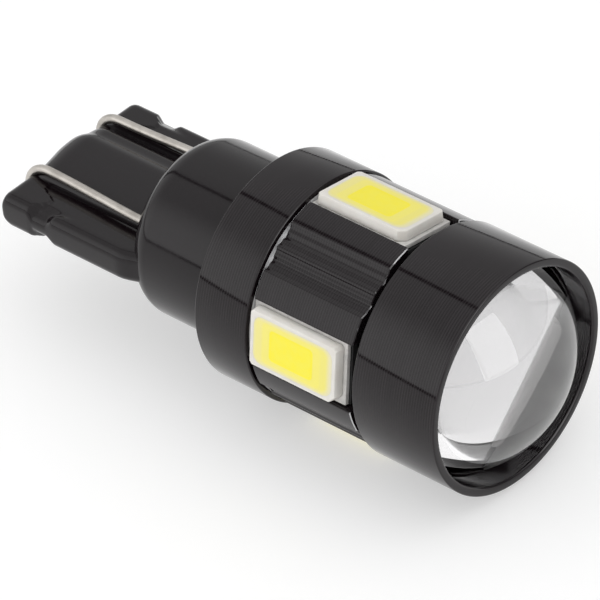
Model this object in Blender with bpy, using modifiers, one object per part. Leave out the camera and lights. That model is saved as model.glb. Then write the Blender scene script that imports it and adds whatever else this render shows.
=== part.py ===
# Wedge base LED bulb, 12 mm in diameter, lying along +X with its lens to the front.
# The origin is the middle of the small flat land at the end of the wedge.
# Y runs across the wedge, Z is the normal of its broad faces. Sizes below are in millimetres.

import math

import bmesh
import bpy
from mathutils import Matrix

MM = 0.001

# Clearances between pieces
SEAT_GAP = 0.03
FIT_GAP = 0.05

# Wedge wings: the two flat outer strips that slide into the holder
WING_WIDTH = 9.7
WING_THICK = 2.0
WING_ROUND = 0.5
WING_SET_BACK = 0.04
WING_MAIN_DROP = 0.07
WING_TAPER_LEAD = 0.1
WING_TAPER = 1.3
WING_TAPER_INSET = 0.15

# Catch groove across both faces of each wing
CATCH_START = 1.75
CATCH_RAMP_IN = 0.45
CATCH_FLOOR = 0.75
CATCH_RAMP_OUT = 0.5
CATCH_DEPTH = 0.42

# Raised rail between the wings, with a rounded nose that the contact wires bend round.
# Its crown has one long and one short flank, and swaps them on the other face.
RAIL_WIDTH = 5.56
RAIL_THICK = 2.84
RAIL_LAND = 0.8
CROWN_PEAK = 0.1
CROWN_LONG = 2.1
CROWN_SHORT = 1.0
CROWN_RISE = 0.25

# Relief groove beside one wire on each face
GROOVE_START = 0.9
GROOVE_INNER = 1.85
GROOVE_OUTER = 2.28
GROOVE_DEPTH = 0.45

# Contact wires
WIRE_RADIUS = 0.2
WIRE_SPREAD_NOSE = 2.54
WIRE_SPREAD_NECK = 2.8
WIRE_TUCK = 0.4
WIRE_PAD_LENGTH = 1.0
WIRE_DROP_LENGTH = 1.1

# Round neck of the base, with a spigot that plugs into the heat sink
WEDGE_LENGTH = 8.0
NECK_RADIUS = 4.6
NECK_ROUND = 1.35
NECK_LENGTH = 6.0
SPIGOT_RADIUS = 4.1
SPIGOT_LENGTH = 3.0
SPIGOT_WALL = 0.5
NECK_WALL = 2.0

# Heat sink: rear collar, fluted middle with four LED slots, front ring with a cup
BODY_RADIUS = 6.0
COLLAR_DROP = 0.03
COLLAR_LENGTH = 3.25
COLLAR_SEAT_DEPTH = 0.1
REAR_GROOVE_WIDTH = 0.14
REAR_GROOVE_DEPTH = 0.47
MIDDLE_LENGTH = 6.15
BAND_DROP = 0.14
FRONT_GROOVE_WIDTH = 0.41
FRONT_GROOVE_DEPTH = 1.0
RING_LENGTH = 5.0
EDGE_BEVEL = 0.08
CUP_WALL = 0.46
LENS_SEAT_DEPTH = 1.95
LENS_SEAT_STEP = 0.28
CUP_DEPTH = 3.9
CORE_BORE_RADIUS = 2.7
CUP_FLOOR = 1.2
FEED_HOLE_RADIUS = 1.5
BODY_CLOCK = -9.4
FLUTE_START = 32.0
FLUTE_COUNT = 6
FLUTE_SINK = 0.16
FLUTE_FINE = 0.12
FLUTE_BROAD = 0.14

# LED package of the side lights: a base with its leads, a white body and a phosphor window.
# Its length and width follow from the slot, by the room and the ledges named here.
SIDE_COUNT = 4
LED_BODY_HEIGHT = 0.55
LED_DRAFT = 0.05
LED_CHAMFER = 0.15
LED_MARK_CHAMFER = 0.35
LED_END_LEDGE = 0.25
LED_SIDE_LEDGE = 0.15
LED_BASE_HEIGHT = 0.26
LED_WINDOW_RIM = 0.32
LED_WINDOW_ROUND = 0.45
LED_WINDOW_DEPTH = 0.3
LED_TOP_DROP = 0.08
SLOT_WIDTH = 3.6
LED_SIDE_ROOM = 0.1
BOARD_THICK = 0.38
BOARD_FRONT_ROOM = 0.73
BOARD_END_MARGIN = 0.07

# Front light under the lens
FRONT_BOARD_THICK = 0.9
FRONT_LED_SIZE = 4.6
FRONT_LED_TURN = 40.0
FRONT_WINDOW_RADIUS = 1.95

# Lens: a thick dome with a flat back, seated on the step in the cup
LENS_EDGE = 0.42
LENS_RISE = 3.38

# Driver board inside the neck and the core of the heat sink
DRIVER_THICK = 0.8
DRIVER_REAR_WIDTH = 6.6
DRIVER_FRONT_WIDTH = 5.0
DRIVER_REAR_GAP = 0.9
DRIVER_FRONT_GAP = 0.9
CHIP_SIZE = (2.9, 1.6, 1.1)
RECTIFIER_SIZE = (3.0, 2.4, 1.3)
RESISTOR_SIZE = (2.0, 1.25, 0.5)
CAPACITOR_SIZE = (3.2, 1.6, 1.2)
UPPER_ROW_ROOM = 3.98
LOWER_ROW_ROOM = 0.38
PART_PITCH = 0.5
FEED_WIRE_RADIUS = 0.22
FEED_WIRE_SPREAD = 0.75
FEED_WIRE_OVERLAP = 1.8

# Fineness of round shapes
ROUND_STEPS = 96
SMALL_STEPS = 24
NOSE_STEPS = 24
ARC_STEPS = 6
DOME_STEPS = 14
ROUND_SEGMENTS = 4
CROWN_STEPS = 16
FLUTE_STEPS = 8
OVERSHOOT = 1.0

# Stations along the axis
NECK_FRONT = WEDGE_LENGTH + NECK_LENGTH
NECK_FLOOR = WEDGE_LENGTH + NECK_WALL
SPIGOT_FRONT = NECK_FRONT + SPIGOT_LENGTH
COLLAR_REAR = NECK_FRONT + SEAT_GAP - COLLAR_SEAT_DEPTH
COLLAR_FRONT = COLLAR_REAR + COLLAR_LENGTH
MIDDLE_REAR = COLLAR_FRONT + REAR_GROOVE_WIDTH
MIDDLE_FRONT = MIDDLE_REAR + MIDDLE_LENGTH
RING_REAR = MIDDLE_FRONT + FRONT_GROOVE_WIDTH
RIM = RING_REAR + RING_LENGTH
LENS_SEAT = RIM - LENS_SEAT_DEPTH
CUP_BOTTOM = RIM - CUP_DEPTH
CORE_FRONT = CUP_BOTTOM - CUP_FLOOR

# Side board and LED package, as the slot between the collar and the ring lets them be
BOARD_LENGTH = RING_REAR - COLLAR_FRONT - SEAT_GAP - BOARD_FRONT_ROOM
LED_CENTRE = COLLAR_FRONT + SEAT_GAP + BOARD_LENGTH / 2
LED_BASE_LENGTH = BOARD_LENGTH - 2 * BOARD_END_MARGIN
LED_BASE_WIDTH = SLOT_WIDTH - 2 * LED_SIDE_ROOM
LED_BODY_LENGTH = LED_BASE_LENGTH - 2 * LED_END_LEDGE
LED_BODY_WIDTH = LED_BASE_WIDTH - 2 * LED_SIDE_LEDGE

# Radii and heights that follow from the sizes above
COLLAR_RADIUS = BODY_RADIUS - COLLAR_DROP
BAND_RADIUS = BODY_RADIUS - BAND_DROP
CUP_RADIUS = BODY_RADIUS - CUP_WALL
SEAT_RADIUS = CUP_RADIUS - LENS_SEAT_STEP
LED_TOP = BODY_RADIUS - LED_TOP_DROP
SOCKET_RADIUS = SPIGOT_RADIUS + FIT_GAP
CAVITY_RADIUS = SPIGOT_RADIUS - SPIGOT_WALL
BOARD_TOP = LED_TOP - LED_BODY_HEIGHT - LED_BASE_HEIGHT - 2 * SEAT_GAP
SLOT_FLOOR = BOARD_TOP - BOARD_THICK - SEAT_GAP
RAIL_HALF = RAIL_THICK / 2
NOSE_X = math.sqrt(RAIL_HALF**2 - (RAIL_LAND / 2) ** 2)
WIRE_HEIGHT = RAIL_HALF + SEAT_GAP + WIRE_RADIUS
DRIVER_REAR = NECK_FLOOR + DRIVER_REAR_GAP
DRIVER_FRONT = CORE_FRONT - DRIVER_FRONT_GAP


def clear_scene():
    for obj in list(bpy.data.objects):
        bpy.data.objects.remove(obj)


def new_collection(name):
    collection = bpy.data.collections.new(name)
    bpy.context.scene.collection.children.link(collection)
    return collection


def finish(name, colour, roughness, metallic=0.0, alpha=1.0, emission=0.0):
    material = bpy.data.materials.new(name)
    material.use_nodes = True
    shader = material.node_tree.nodes["Principled BSDF"]
    shader.inputs["Base Color"].default_value = (*colour, 1.0)
    shader.inputs["Roughness"].default_value = roughness
    shader.inputs["Metallic"].default_value = metallic
    shader.inputs["Alpha"].default_value = alpha
    shader.inputs["Emission Color"].default_value = (*colour, 1.0)
    shader.inputs["Emission Strength"].default_value = emission
    return material


def add_object(name, mesh, collection, material=None):
    obj = bpy.data.objects.new(name, mesh)
    collection.objects.link(obj)
    if material:
        mesh.materials.append(material)
    else:
        obj.hide_render = True
        obj.display_type = "WIRE"
    return obj


def mesh_from(bm, name, smooth=False):
    bmesh.ops.recalc_face_normals(bm, faces=bm.faces)
    mesh = bpy.data.meshes.new(name)
    bm.to_mesh(mesh)
    bm.free()
    if smooth:
        mesh.shade_smooth()
        mesh.set_sharp_from_angle(angle=math.radians(30))
    return mesh


def prism(name, outline, plane, low, high):
    # A flat outline drawn as a filled curve and extruded to both sides, then made a mesh.
    curve = bpy.data.curves.new(name, "CURVE")
    curve.dimensions = "2D"
    curve.fill_mode = "BOTH"
    curve.extrude = (high - low) / 2
    spline = curve.splines.new("POLY")
    spline.points.add(len(outline) - 1)
    for point, (u, v) in zip(spline.points, outline):
        point.co = (u, v, 0.0, 1.0)
    spline.use_cyclic_u = True
    drawn = bpy.data.objects.new(name, curve)
    bpy.context.scene.collection.objects.link(drawn)
    graph = bpy.context.evaluated_depsgraph_get()
    mesh = bpy.data.meshes.new_from_object(drawn.evaluated_get(graph))
    bpy.data.objects.remove(drawn)
    bpy.data.curves.remove(curve)
    axes = {
        "XY": ((1, 0, 0), (0, 1, 0), (0, 0, 1)),
        "XZ": ((1, 0, 0), (0, 0, 1), (0, 1, 0)),
        "YZ": ((0, 0, 1), (1, 0, 0), (0, 1, 0)),
    }[plane]
    place = Matrix(axes).to_4x4() @ Matrix.Translation((0, 0, (low + high) / 2))
    mesh.transform(Matrix.Scale(MM, 4) @ place)
    bm = bmesh.new()
    bm.from_mesh(mesh)
    bpy.data.meshes.remove(mesh)
    bmesh.ops.remove_doubles(bm, verts=bm.verts, dist=1e-7)
    bmesh.ops.dissolve_limit(bm, angle_limit=0.005, verts=bm.verts, edges=bm.edges)
    return mesh_from(bm, name)


def box_mesh(name, length, width, height, centre):
    bm = bmesh.new()
    bmesh.ops.create_cube(bm, size=1.0)
    bmesh.ops.scale(bm, vec=(length * MM, width * MM, height * MM), verts=bm.verts)
    bmesh.ops.translate(bm, vec=[MM * value for value in centre], verts=bm.verts)
    return mesh_from(bm, name)


def rod_mesh(name, radius, start, end, y=0.0, z=0.0, steps=SMALL_STEPS):
    bm = bmesh.new()
    bmesh.ops.create_cone(
        bm,
        cap_ends=True,
        segments=steps,
        radius1=radius * MM,
        radius2=radius * MM,
        depth=(end - start) * MM,
        matrix=Matrix.Translation(((start + end) / 2 * MM, y * MM, z * MM))
        @ Matrix.Rotation(math.radians(90), 4, "Y"),
    )
    return mesh_from(bm, name)


def disc_mesh(name, radius, low, high):
    return rod_mesh(name, radius, low, high, steps=ROUND_STEPS)


def arc(centre, radius, start, end, steps):
    return [
        (
            centre[0] + radius * math.cos(math.radians(start + (end - start) * step / steps)),
            centre[1] + radius * math.sin(math.radians(start + (end - start) * step / steps)),
        )
        for step in range(steps + 1)
    ]


def rounded_rectangle(length, width, radius, steps=ARC_STEPS):
    x, y = length / 2 - radius, width / 2 - radius
    points = []
    for centre, start in (((x, y), 0), ((-x, y), 90), ((-x, -y), 180), ((x, -y), 270)):
        points += arc(centre, radius, start, start + 90, steps)
    return points


def turned(name, profile, collection, material=None):
    # A profile of (station, radius) pairs, turned about the X axis.
    mesh = bpy.data.meshes.new(name)
    points = [(station * MM, 0.0, radius * MM) for station, radius in reversed(profile)]
    edges = [(index, index + 1) for index in range(len(points) - 1)]
    mesh.from_pydata(points, edges, [])
    obj = add_object(name, mesh, collection, material)
    screw = obj.modifiers.new("Turn", "SCREW")
    screw.axis = "X"
    screw.steps = ROUND_STEPS
    screw.render_steps = ROUND_STEPS
    screw.use_merge_vertices = True
    screw.merge_threshold = 1e-7
    screw.use_smooth_shade = True
    return obj


def join(obj, other, operation):
    modifier = obj.modifiers.new(operation.title(), "BOOLEAN")
    modifier.operation = operation
    modifier.solver = "EXACT"
    modifier.object = other
    return modifier


def wing_side_outline():
    # Side view of a wing: end pad, catch groove and the slightly thinner main length.
    half = WING_THICK / 2
    ramp_in = WING_SET_BACK + CATCH_START
    floor = ramp_in + CATCH_RAMP_IN
    ramp_out = floor + CATCH_FLOOR
    main = ramp_out + CATCH_RAMP_OUT
    stations = [
        (WING_SET_BACK, half),
        (ramp_in, half),
        (floor, half - CATCH_DEPTH),
        (ramp_out, half - CATCH_DEPTH),
        (main, half - WING_MAIN_DROP),
        (WEDGE_LENGTH + 2 * OVERSHOOT, half - WING_MAIN_DROP),
    ]
    return stations + [(x, -z) for x, z in reversed(stations)]


def wing_plan_outline():
    # Plan view: straight sides that narrow where they run into the neck.
    half, inner = WING_WIDTH / 2, NECK_RADIUS - WING_TAPER_INSET
    start = WEDGE_LENGTH - WING_TAPER_LEAD
    rear, front = WING_SET_BACK - OVERSHOOT, start + WING_TAPER
    return [(rear, -half), (start, -half), (front, -inner), (front, inner), (start, half), (rear, half)]


def crown_reach(y):
    # Half thickness of the rail at a distance from its middle.
    flank = CROWN_SHORT if y > CROWN_PEAK else CROWN_LONG
    share = min(abs(y - CROWN_PEAK) / flank, 1.0)
    return RAIL_HALF + CROWN_RISE * (1 + math.cos(math.pi * share)) / 2


def rail_mesh(name):
    # The crowned section runs along the top, turns into its mirror image round the nose
    # and goes back along the bottom, so that both faces look the same from outside.
    front = WEDGE_LENGTH + 0.7 * OVERSHOOT
    turns = [math.radians(90 + 180 * step / NOSE_STEPS) for step in range(NOSE_STEPS + 1)]
    bm = bmesh.new()
    rows = []
    for step in range(CROWN_STEPS + 1):
        y = RAIL_WIDTH * (0.5 - step / CROWN_STEPS)
        above, below = crown_reach(y), crown_reach(-y)
        row = [(front, above)]
        for turn in turns:
            share = (1 + math.sin(turn)) / 2
            reach = above * share + below * (1 - share)
            row.append((NOSE_X + reach * math.cos(turn), reach * math.sin(turn)))
        row.append((front, -below))
        rows.append([bm.verts.new((x * MM, y * MM, z * MM)) for x, z in row])
    for first, second in zip(rows, rows[1:]):
        for index in range(len(first) - 1):
            bm.faces.new((first[index], first[index + 1], second[index + 1], second[index]))
    bm.faces.new(rows[0])
    bm.faces.new(reversed(rows[-1]))
    bm.faces.new([row[0] for row in rows] + [row[-1] for row in reversed(rows)])
    return mesh_from(bm, name)


def neck_profile():
    rear_flat = NECK_RADIUS - NECK_ROUND
    return [
        (WEDGE_LENGTH, 0.0),
        *[
            (WEDGE_LENGTH + NECK_ROUND - along, rear_flat + out)
            for along, out in arc((0, 0), NECK_ROUND, 0, 90, ARC_STEPS)
        ],
        (NECK_FRONT, NECK_RADIUS),
        (NECK_FRONT, SPIGOT_RADIUS),
        (SPIGOT_FRONT, SPIGOT_RADIUS),
        (SPIGOT_FRONT, CAVITY_RADIUS),
        (NECK_FLOOR, CAVITY_RADIUS),
        (NECK_FLOOR, 0.0),
    ]


def rounded(obj, width):
    # Rounds the square edges and leaves the shallow ones of ramps and arcs as they are.
    bevel = obj.modifiers.new("Round", "BEVEL")
    bevel.width = width * MM
    bevel.segments = ROUND_SEGMENTS
    bevel.limit_method = "ANGLE"
    bevel.angle_limit = math.radians(60)
    return bevel


def build_wings(cutters):
    half = WING_WIDTH / 2 + OVERSHOOT
    wings = add_object("wings", prism("wings", wing_side_outline(), "XZ", -half, half), cutters)
    plan = add_object("wing_plan", prism("wing_plan", wing_plan_outline(), "XY", -half, half), cutters)
    join(wings, plan, "INTERSECT")
    rounded(wings, WING_ROUND)
    return wings


def build_rail(cutters):
    rail = add_object("wedge_rail", rail_mesh("wedge_rail"), cutters)
    land = box_mesh("end_land", RAIL_THICK, WING_WIDTH, WING_WIDTH, (-RAIL_HALF, 0, 0))
    join(rail, add_object("end_land", land, cutters), "DIFFERENCE")
    front = WEDGE_LENGTH + OVERSHOOT
    length, middle = front - GROOVE_START, (front + GROOVE_START) / 2
    y, width = (GROOVE_OUTER + GROOVE_INNER) / 2, GROOVE_OUTER - GROOVE_INNER
    height = GROOVE_DEPTH + OVERSHOOT
    z = RAIL_HALF - GROOVE_DEPTH + height / 2
    for face, sign in (("top", 1), ("bottom", -1)):
        groove = box_mesh("relief", length, width, height, (middle, sign * y, sign * z))
        join(rail, add_object("relief_groove_" + face, groove, cutters), "DIFFERENCE")
    return rail


def build_wedge_base(parts, cutters, material):
    base = turned("wedge_base", neck_profile(), parts, material)
    join(base, build_wings(cutters), "UNION")
    join(base, build_rail(cutters), "UNION")
    hole = WIRE_RADIUS + FIT_GAP
    for side_name, sign in (("left", 1), ("right", -1)):
        y = sign * WIRE_SPREAD_NECK
        through = rod_mesh("entry", hole, WEDGE_LENGTH - WIRE_TUCK, NECK_FLOOR + 1, y, WIRE_HEIGHT)
        blind_end = WEDGE_LENGTH + WIRE_TUCK + FIT_GAP
        blind = rod_mesh("tuck", hole, WEDGE_LENGTH - WIRE_TUCK, blind_end, y, -WIRE_HEIGHT)
        join(base, add_object("wire_entry_" + side_name, through, cutters), "DIFFERENCE")
        join(base, add_object("wire_tuck_" + side_name, blind, cutters), "DIFFERENCE")
    return base


def wire_route(sign):
    # From the driver board, out through the neck, round the nose and back under the wedge.
    pad_height = DRIVER_THICK / 2 + SEAT_GAP + WIRE_RADIUS
    drop_end = NECK_FLOOR + WIRE_DROP_LENGTH + 0.2
    points = [(drop_end + WIRE_PAD_LENGTH, WIRE_SPREAD_NECK, pad_height)]
    for step in range(9):
        share = step / 8
        rise = (1 - math.cos(math.pi * share)) / 2
        height = pad_height + (WIRE_HEIGHT - pad_height) * rise
        points.append((drop_end - WIRE_DROP_LENGTH * share, WIRE_SPREAD_NECK, height))
    kink = WEDGE_LENGTH - WIRE_TUCK
    points.append((kink, WIRE_SPREAD_NECK, WIRE_HEIGHT))
    for step in range(NOSE_STEPS + 1):
        turn = math.radians(90 + 180 * step / NOSE_STEPS)
        x = NOSE_X + WIRE_HEIGHT * math.cos(turn)
        points.append((x, WIRE_SPREAD_NOSE, WIRE_HEIGHT * math.sin(turn)))
    points.append((kink, WIRE_SPREAD_NECK, -WIRE_HEIGHT))
    points.append((WEDGE_LENGTH + WIRE_TUCK, WIRE_SPREAD_NECK, -WIRE_HEIGHT))
    return [(x, sign * y, z) for x, y, z in points]


def build_wire(name, route, radius, parts, material):
    curve = bpy.data.curves.new(name, "CURVE")
    curve.dimensions = "3D"
    curve.bevel_depth = radius * MM
    curve.bevel_resolution = 2
    curve.use_fill_caps = True
    spline = curve.splines.new("POLY")
    spline.points.add(len(route) - 1)
    for point, place in zip(spline.points, route):
        point.co = (*[MM * value for value in place], 1.0)
    curve.materials.append(material)
    obj = bpy.data.objects.new(name, curve)
    parts.objects.link(obj)
    return obj


def flute_depth(share):
    # Fine flutes on two broad waves, in a field that is sunk below the plain bands.
    sink = FLUTE_SINK * (1 - (2 * share - 1) ** 8)
    broad = FLUTE_BROAD * math.sin(2 * math.pi * share) ** 2
    fine = FLUTE_FINE * (1 - math.cos(2 * math.pi * FLUTE_COUNT * share)) / 2
    return sink + broad + fine


def sleeve_outline():
    # Outline of the fluted middle: plain bands beside the slots, fine flutes at the corners.
    points = []
    span = 90 - 2 * FLUTE_START
    steps = FLUTE_COUNT * FLUTE_STEPS
    for quarter in range(SIDE_COUNT):
        turn = BODY_CLOCK + 90 * quarter
        angles = [(angle, 0.0) for angle in (0, 8, 16, 20, 24, 28)]
        for step in range(steps + 1):
            share = step / steps
            angles.append((FLUTE_START + span * share, flute_depth(share)))
        angles += [(90 - angle, 0.0) for angle in (28, 24, 20, 16, 8)]
        for angle, sunk in angles:
            around = math.radians(turn + angle)
            radius = BAND_RADIUS - sunk
            points.append((-radius * math.sin(around), radius * math.cos(around)))
    return points


def heat_sink_profile():
    edge = EDGE_BEVEL
    core = COLLAR_RADIUS - REAR_GROOVE_DEPTH
    neck = BODY_RADIUS - FRONT_GROOVE_DEPTH
    seat = COLLAR_REAR + COLLAR_SEAT_DEPTH
    seat_radius = NECK_RADIUS + FIT_GAP
    return [
        (seat, SOCKET_RADIUS),
        (seat, seat_radius),
        (COLLAR_REAR, seat_radius),
        (COLLAR_REAR, COLLAR_RADIUS - edge),
        (COLLAR_REAR + edge, COLLAR_RADIUS),
        (COLLAR_FRONT - edge, COLLAR_RADIUS),
        (COLLAR_FRONT, COLLAR_RADIUS - edge),
        (COLLAR_FRONT, core),
        (MIDDLE_REAR + edge, core),
        (MIDDLE_REAR + 2 * edge, neck),
        (RING_REAR, neck),
        (RING_REAR, BODY_RADIUS - edge),
        (RING_REAR + edge, BODY_RADIUS),
        (RIM - edge, BODY_RADIUS),
        (RIM, BODY_RADIUS - edge),
        (RIM, CUP_RADIUS),
        (LENS_SEAT, CUP_RADIUS),
        (LENS_SEAT, SEAT_RADIUS),
        (CUP_BOTTOM, SEAT_RADIUS),
        (CUP_BOTTOM, FEED_HOLE_RADIUS),
        (CORE_FRONT, FEED_HOLE_RADIUS),
        (CORE_FRONT, CORE_BORE_RADIUS),
        (SPIGOT_FRONT + FIT_GAP, CORE_BORE_RADIUS),
        (SPIGOT_FRONT + FIT_GAP, SOCKET_RADIUS),
        (seat, SOCKET_RADIUS),
    ]


def build_heat_sink(parts, cutters, material):
    sink = turned("heat_sink", heat_sink_profile(), parts, material)
    sleeve = prism("fluted_sleeve", sleeve_outline(), "YZ", MIDDLE_REAR, MIDDLE_FRONT)
    sleeve = add_object("fluted_sleeve", sleeve, cutters)
    inside = rod_mesh("sleeve_inside", CORE_BORE_RADIUS + 1, MIDDLE_REAR - 1, RING_REAR, 0, 0)
    join(sleeve, add_object("sleeve_inside", inside, cutters), "DIFFERENCE")
    join(sink, sleeve, "UNION")
    depth = BAND_RADIUS - SLOT_FLOOR + OVERSHOOT
    middle = (COLLAR_FRONT + RING_REAR) / 2
    length = RING_REAR - COLLAR_FRONT
    for quarter in range(SIDE_COUNT):
        slot = box_mesh("slot", length, SLOT_WIDTH, depth, (middle, 0, SLOT_FLOOR + depth / 2))
        cutter = add_object("led_slot_" + str(quarter + 1), slot, cutters)
        cutter.rotation_euler.x = math.radians(BODY_CLOCK + 90 * quarter)
        join(sink, cutter, "DIFFERENCE")
    return sink


def led_outline(length, width):
    # A rectangle with small chamfers and one larger one that marks the package.
    x, y, small, mark = length / 2, width / 2, LED_CHAMFER, LED_MARK_CHAMFER
    return [
        (x, mark - y),
        (x, y - small),
        (x - small, y),
        (small - x, y),
        (-x, y - small),
        (-x, small - y),
        (small - x, -y),
        (x - mark, -y),
    ]


def led_body_mesh(name, length, width, low, height, centre):
    # The outline rises with a little draft on every side.
    bm = bmesh.new()
    rows = []
    for grow, level in ((0.0, low), (-2 * LED_DRAFT, low + height)):
        outline = led_outline(length + grow, width + grow)
        rows.append([bm.verts.new(((centre + u) * MM, v * MM, level * MM)) for u, v in outline])
    count = len(rows[0])
    for index in range(count):
        after = (index + 1) % count
        bm.faces.new((rows[0][index], rows[0][after], rows[1][after], rows[1][index]))
    bm.faces.new(reversed(rows[0]))
    bm.faces.new(rows[1])
    return mesh_from(bm, name)


def shifted(outline, along):
    return [(u + along, v) for u, v in outline]


def build_side_light(number, parts, cutters, looks):
    turn = math.radians(BODY_CLOCK + 90 * (number - 1))
    tag = "_" + str(number)
    board_low = SLOT_FLOOR + SEAT_GAP
    base_low = BOARD_TOP + SEAT_GAP
    body_low = base_low + LED_BASE_HEIGHT + SEAT_GAP
    width = SLOT_WIDTH - 2 * FIT_GAP
    board = box_mesh(
        "side_board" + tag, BOARD_LENGTH, width, BOARD_THICK, (LED_CENTRE, 0, board_low + BOARD_THICK / 2)
    )
    base = box_mesh(
        "side_led_base" + tag,
        LED_BASE_LENGTH,
        LED_BASE_WIDTH,
        LED_BASE_HEIGHT,
        (LED_CENTRE, 0, base_low + LED_BASE_HEIGHT / 2),
    )
    body = led_body_mesh(
        "side_led_body" + tag, LED_BODY_LENGTH, LED_BODY_WIDTH, body_low, LED_BODY_HEIGHT, LED_CENTRE
    )
    top = body_low + LED_BODY_HEIGHT
    window_length = LED_BODY_LENGTH - 2 * LED_WINDOW_RIM
    window_width = LED_BODY_WIDTH - 2 * LED_WINDOW_RIM
    window = shifted(rounded_rectangle(window_length, window_width, LED_WINDOW_ROUND), LED_CENTRE)
    gap = SEAT_GAP
    filling = rounded_rectangle(window_length - 2 * gap, window_width - 2 * gap, LED_WINDOW_ROUND - gap)
    recess = prism("window", window, "XY", top - LED_WINDOW_DEPTH, top + OVERSHOOT)
    fill_low = top - LED_WINDOW_DEPTH + gap
    phosphor = prism("phosphor", shifted(filling, LED_CENTRE), "XY", fill_low, top - gap)
    pieces = [
        add_object("side_board" + tag, board, parts, looks["board"]),
        add_object("side_led_base" + tag, base, parts, looks["lead"]),
        add_object("side_led_body" + tag, body, parts, looks["housing"]),
        add_object("side_led_phosphor" + tag, phosphor, parts, looks["phosphor"]),
    ]
    cutter = add_object("side_led_window" + tag, recess, cutters)
    join(pieces[2], cutter, "DIFFERENCE")
    for piece in pieces + [cutter]:
        piece.rotation_euler.x = turn


def build_front_light(parts, cutters, looks):
    board_rear = CUP_BOTTOM + SEAT_GAP
    board_front = board_rear + FRONT_BOARD_THICK
    board = disc_mesh("front_board", SEAT_RADIUS - FIT_GAP, board_rear, board_front)
    add_object("front_board", board, parts, looks["front_board"])
    base_low = board_front + SEAT_GAP
    body_low = base_low + LED_BASE_HEIGHT + SEAT_GAP
    top = LENS_SEAT - SEAT_GAP
    half = FRONT_LED_SIZE / 2
    turn = math.radians(FRONT_LED_TURN)

    def turned_square(size, chamfer):
        edge = size - chamfer
        corners = [(size, -edge), (size, edge), (edge, size), (-edge, size)]
        corners += [(-size, edge), (-size, -edge), (-edge, -size), (edge, -size)]
        return [
            (u * math.cos(turn) - v * math.sin(turn), u * math.sin(turn) + v * math.cos(turn))
            for u, v in corners
        ]

    base = prism("front_led_base", turned_square(half, LED_CHAMFER), "YZ", base_low, body_low - SEAT_GAP)
    add_object("front_led_base", base, parts, looks["lead"])
    body_outline = turned_square(half - LED_DRAFT, LED_CHAMFER)
    body = add_object(
        "front_led_body", prism("front_led_body", body_outline, "YZ", body_low, top), parts, looks["housing"]
    )
    recess = disc_mesh("front_window", FRONT_WINDOW_RADIUS, top - LED_WINDOW_DEPTH, top + OVERSHOOT)
    join(body, add_object("front_led_window", recess, cutters), "DIFFERENCE")
    fill_low = top - LED_WINDOW_DEPTH + SEAT_GAP
    phosphor = disc_mesh("front_phosphor", FRONT_WINDOW_RADIUS - SEAT_GAP, fill_low, top - SEAT_GAP)
    add_object("front_led_phosphor", phosphor, parts, looks["phosphor"])


def build_lens(parts, material):
    # The dome's radius follows from its rise over the edge and the lens's own radius.
    radius = CUP_RADIUS - FIT_GAP
    back = LENS_SEAT + SEAT_GAP
    shoulder = back + LENS_EDGE
    dome_radius = (radius**2 + LENS_RISE**2) / (2 * LENS_RISE)
    centre = shoulder + LENS_RISE - dome_radius
    reach = math.degrees(math.atan2(radius, shoulder - centre))
    dome = arc((centre, 0), dome_radius, reach, 0, DOME_STEPS)
    profile = [(back, 0.0), (back, radius)] + dome[:-1] + [(shoulder + LENS_RISE, 0.0)]
    return turned("lens", profile, parts, material)


def build_driver(parts, looks):
    half = DRIVER_THICK / 2
    rear, front, step = DRIVER_REAR, DRIVER_FRONT, SPIGOT_FRONT - FIT_GAP
    wide, slim = DRIVER_REAR_WIDTH / 2, DRIVER_FRONT_WIDTH / 2
    outline = [(rear, -wide), (step, -wide), (step, -slim), (front, -slim)]
    outline += [(front, slim), (step, slim), (step, wide), (rear, wide)]
    board = prism("driver_board", outline, "XY", -half, half)
    add_object("driver_board", board, parts, looks["driver_board"])
    seat = half + SEAT_GAP
    above = [
        ("rectifier", RECTIFIER_SIZE, looks["chip"]),
        ("resistor_1", RESISTOR_SIZE, looks["chip"]),
    ]
    below = [
        ("capacitor", CAPACITOR_SIZE, looks["ceramic"]),
        ("driver_chip", CHIP_SIZE, looks["chip"]),
        ("resistor_2", RESISTOR_SIZE, looks["chip"]),
    ]
    for row, sign, room in ((above, 1, UPPER_ROW_ROOM), (below, -1, LOWER_ROW_ROOM)):
        # Each row is set out backwards from the board's front end.
        x = front - room
        for name, (length, width, height), look in reversed(row):
            centre = (x - length / 2, 0, sign * (seat + height / 2))
            add_object(name, box_mesh(name, length, width, height, centre), parts, look)
            x -= length + PART_PITCH
    return board


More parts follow.
